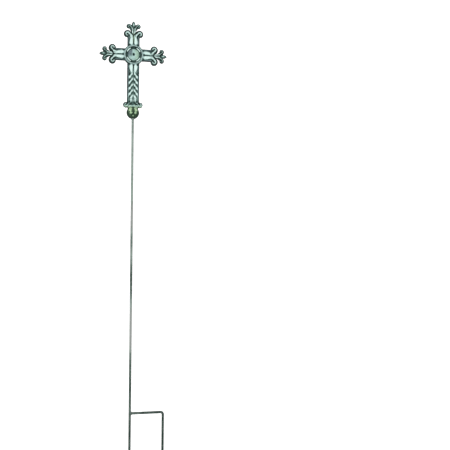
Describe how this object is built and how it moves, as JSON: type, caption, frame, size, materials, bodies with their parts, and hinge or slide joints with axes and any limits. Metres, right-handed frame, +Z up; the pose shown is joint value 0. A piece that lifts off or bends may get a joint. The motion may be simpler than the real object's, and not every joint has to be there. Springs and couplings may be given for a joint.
{
  "type": "memorial garden stake",
  "caption": "Tall garden stake with a cast scrollwork cross on a round rod and a two-prong foot that is pushed into the soil.",
  "frame": {"origin": "on the axis of the main rod at the soil line, where the underside of the foot bar meets the ground", "axes": "+Z up along the rod, the front of the cross faces -Y, +X to the viewer's right, towards the second prong"},
  "size_m": [0.1645, 0.0161, 1.0645],
  "materials": {
    "verdigris_casting": "chalky pale verdigris over near-black recesses, moss green at the lower end",
    "verdigris_rod": "mottled verdigris, dark teal and grey-purple, matt"
  },
  "bodies": {
    "root": {"cast_cross": "verdigris_casting", "stake_rod": "verdigris_rod", "step_prong": "verdigris_rod"}
  },
  "joints": []
}
